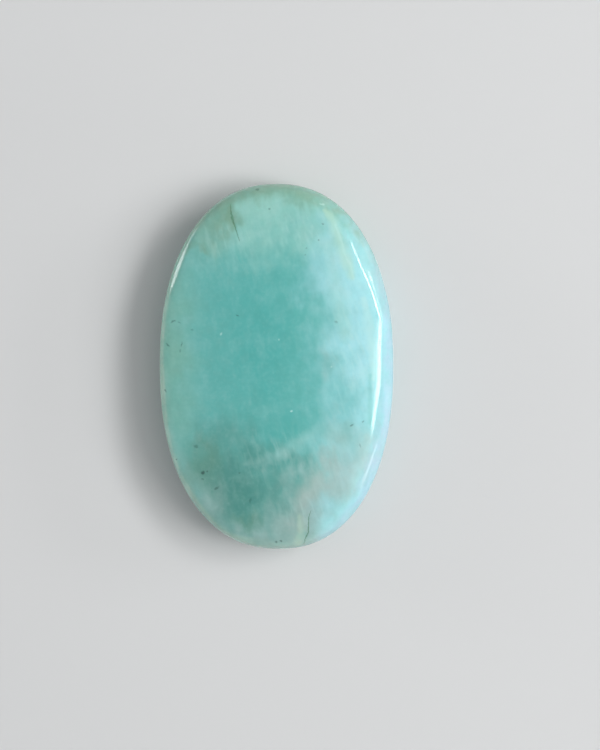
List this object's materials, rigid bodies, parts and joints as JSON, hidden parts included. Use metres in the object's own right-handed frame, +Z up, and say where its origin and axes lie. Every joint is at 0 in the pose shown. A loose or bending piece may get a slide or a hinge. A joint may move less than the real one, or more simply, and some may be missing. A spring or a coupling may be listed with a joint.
{
  "type": "polished oval amazonite stone",
  "caption": "Smooth polished oval stone with a nearly flat face, a rounded shoulder and a small flat spot on its back that it rests on.",
  "frame": {"origin": "middle of the small flat resting spot under the stone, which is also the bottom centre of its box", "axes": "+Y along the stone's length, +X across its width, +Z up through its polished face"},
  "size_m": [0.0322, 0.05, 0.009],
  "materials": {
    "amazonite": "polished"
  },
  "bodies": {
    "root": {"amazonite_stone": "amazonite"}
  },
  "joints": []
}
